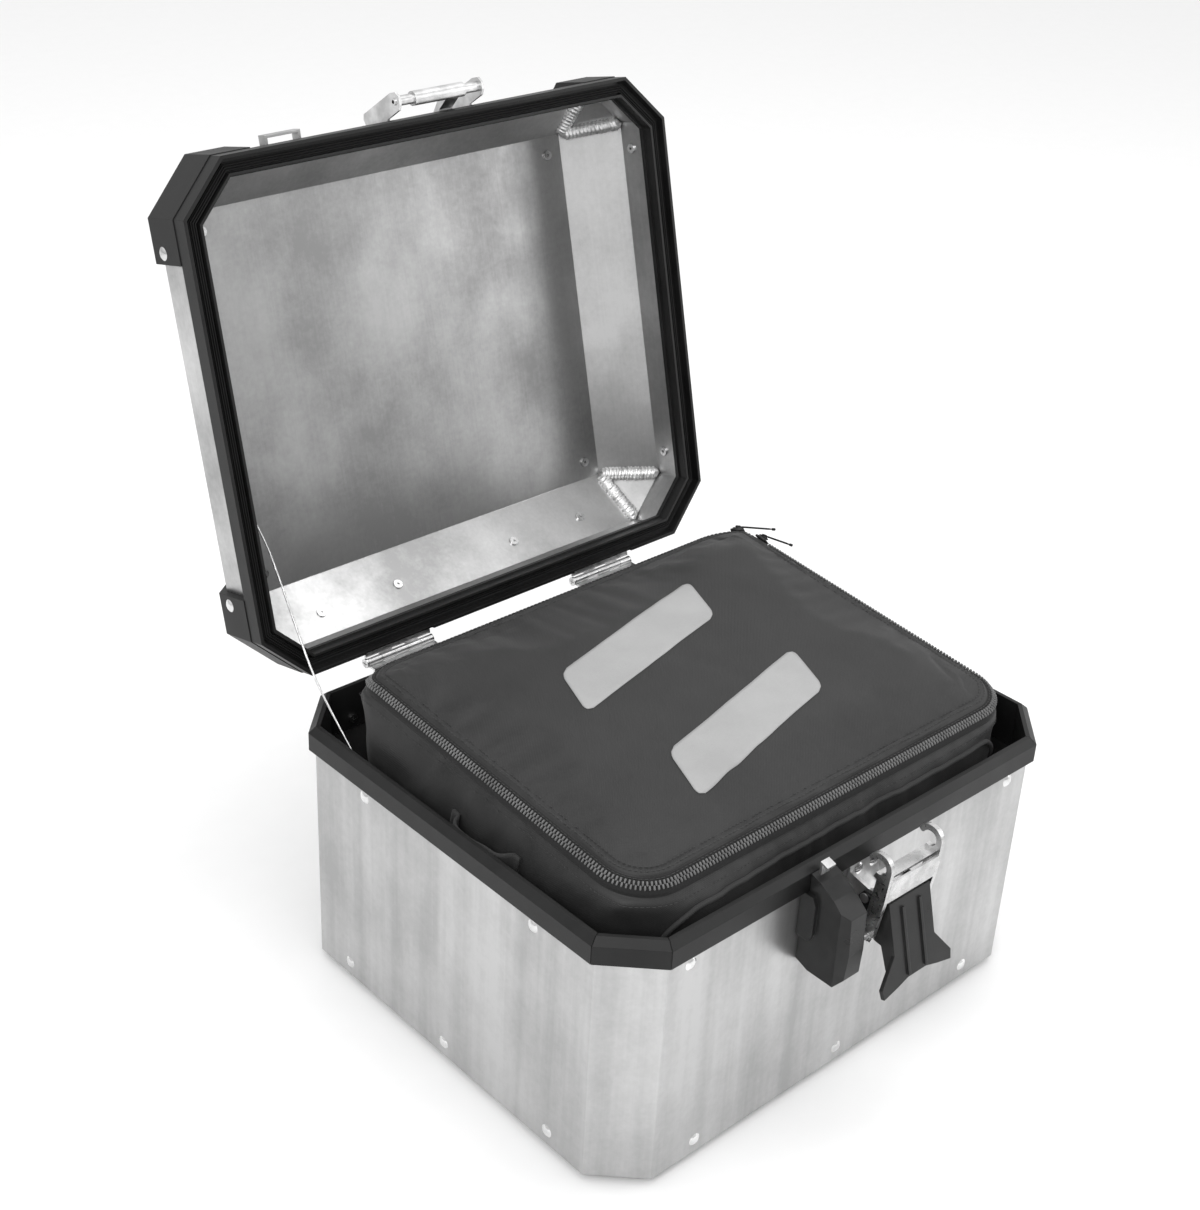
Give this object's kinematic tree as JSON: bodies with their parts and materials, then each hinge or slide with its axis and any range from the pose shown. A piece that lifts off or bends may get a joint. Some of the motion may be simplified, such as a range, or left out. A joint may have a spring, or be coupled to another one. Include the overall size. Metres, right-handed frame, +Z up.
{
  "type": "motorcycle top case",
  "caption": "Cut-corner aluminium motorcycle top case with hinged lid, stay cable, draw latch with lock, and a zipped inner bag.",
  "frame": {"origin": "centre of the four mounting bolts, on the underside of the rubber buffers", "axes": "+X to the right seen from the latch, +Y towards the hinges, +Z up"},
  "size_m": [0.4384, 0.5853, 0.5904],
  "materials": {
    "sheet_aluminium": "brushed rolled sheet, satin",
    "moulded_black": "fine moulded grain, slight sheen",
    "rubber": "matt",
    "rivet_steel": "bright zinc",
    "bright_steel": "satin stainless",
    "hook_steel": "tumbled stainless",
    "black_alloy": "satin black coating",
    "weld_aluminium": "rippled weld bead",
    "cable_steel": "bright stranded wire",
    "bag_cloth": "plain woven nylon",
    "zip_tape": "zip tape and moulded teeth",
    "webbing": "woven strap",
    "reflective_cloth": "light grey reflective cloth"
  },
  "bodies": {
    "case": {"bag_bars": "reflective_cloth", "bag_body": "bag_cloth", "bag_handle": "webbing", "bag_top": "bag_cloth", "bag_zip": "zip_tape", "case_floor": "sheet_aluminium", "case_rim": "moulded_black", "case_walls": "sheet_aluminium", "floor_plate": "sheet_aluminium", "floor_rivets": "rivet_steel", "hinge_case_rivets": "rivet_steel", "hinge_left_case_leaf": "bright_steel", "hinge_left_pin": "bright_steel", "hinge_right_case_leaf": "bright_steel", "hinge_right_pin": "bright_steel", "latch_base": "bright_steel", "latch_rivets": "rivet_steel", "lever_pin": "bright_steel", "lock_clip": "bright_steel", "lock_housing": "black_alloy", "mount_buffers": "rubber", "rim_rivets": "rivet_steel", "stay_cable": "cable_steel", "stay_case_anchor": "bright_steel", "zip_pulls": "moulded_black", "zip_sliders": "zip_tape"},
    "lid": {"back_rivets": "rivet_steel", "catch_bar": "bright_steel", "catch_bracket": "bright_steel", "catch_rivets": "rivet_steel", "guard_back_left": "moulded_black", "guard_back_right": "moulded_black", "guard_front_left": "moulded_black", "guard_front_right": "moulded_black", "guard_rivets": "rivet_steel", "hinge_left_lid_leaf": "bright_steel", "hinge_lid_rivets": "rivet_steel", "hinge_right_lid_leaf": "bright_steel", "lid_frame": "moulded_black", "lid_seal": "rubber", "lid_shell": "sheet_aluminium", "lid_welds": "weld_aluminium", "stay_lid_anchor": "bright_steel", "strap_eye": "sheet_aluminium", "strap_eye_rivets": "rivet_steel"},
    "lever": {"latch_lever": "black_alloy"},
    "hooks": {"latch_hooks": "hook_steel", "hook_pin": "bright_steel"},
    "lock_plug": {"lock_plug": "bright_steel"},
    "lock_bolt": {"lock_bolt": "bright_steel"}
  },
  "joints": [
    {"name": "lid_hinge", "type": "hinge", "parent": "case", "child": "lid", "pos_m": [0, 0.1923, 0.20467], "axis": [1, 0, 0], "range_deg": [0, 103.6], "deforming": ["stay_cable"]},
    {"name": "lever_swing", "type": "hinge", "parent": "case", "child": "lever", "pos_m": [0.0034, -0.1976, 0.1698], "axis": [1, 0, 0], "range_deg": [-60, 32]},
    {"name": "hook_swing", "type": "hinge", "parent": "lever", "child": "hooks", "pos_m": [0.0034, -0.20774, 0.14805], "axis": [1, 0, 0], "range_deg": [-31.5, 59]},
    {"name": "key_turn", "type": "hinge", "parent": "case", "child": "lock_plug", "pos_m": [-0.047, -0.2007, 0.13], "axis": [0, 0, 1], "range_deg": [0, 90]},
    {"name": "bolt_slide", "type": "slide", "parent": "case", "child": "lock_bolt", "axis": [1, 0, 0], "range_m": [0, 0.0061]}
  ],
  "couplings": [
    {"joint": "hook_swing", "follows": "lever_swing", "ratio": -0.97752},
    {"joint": "bolt_slide", "follows": "key_turn", "m_per_rad": 0.0038197}
  ]
}
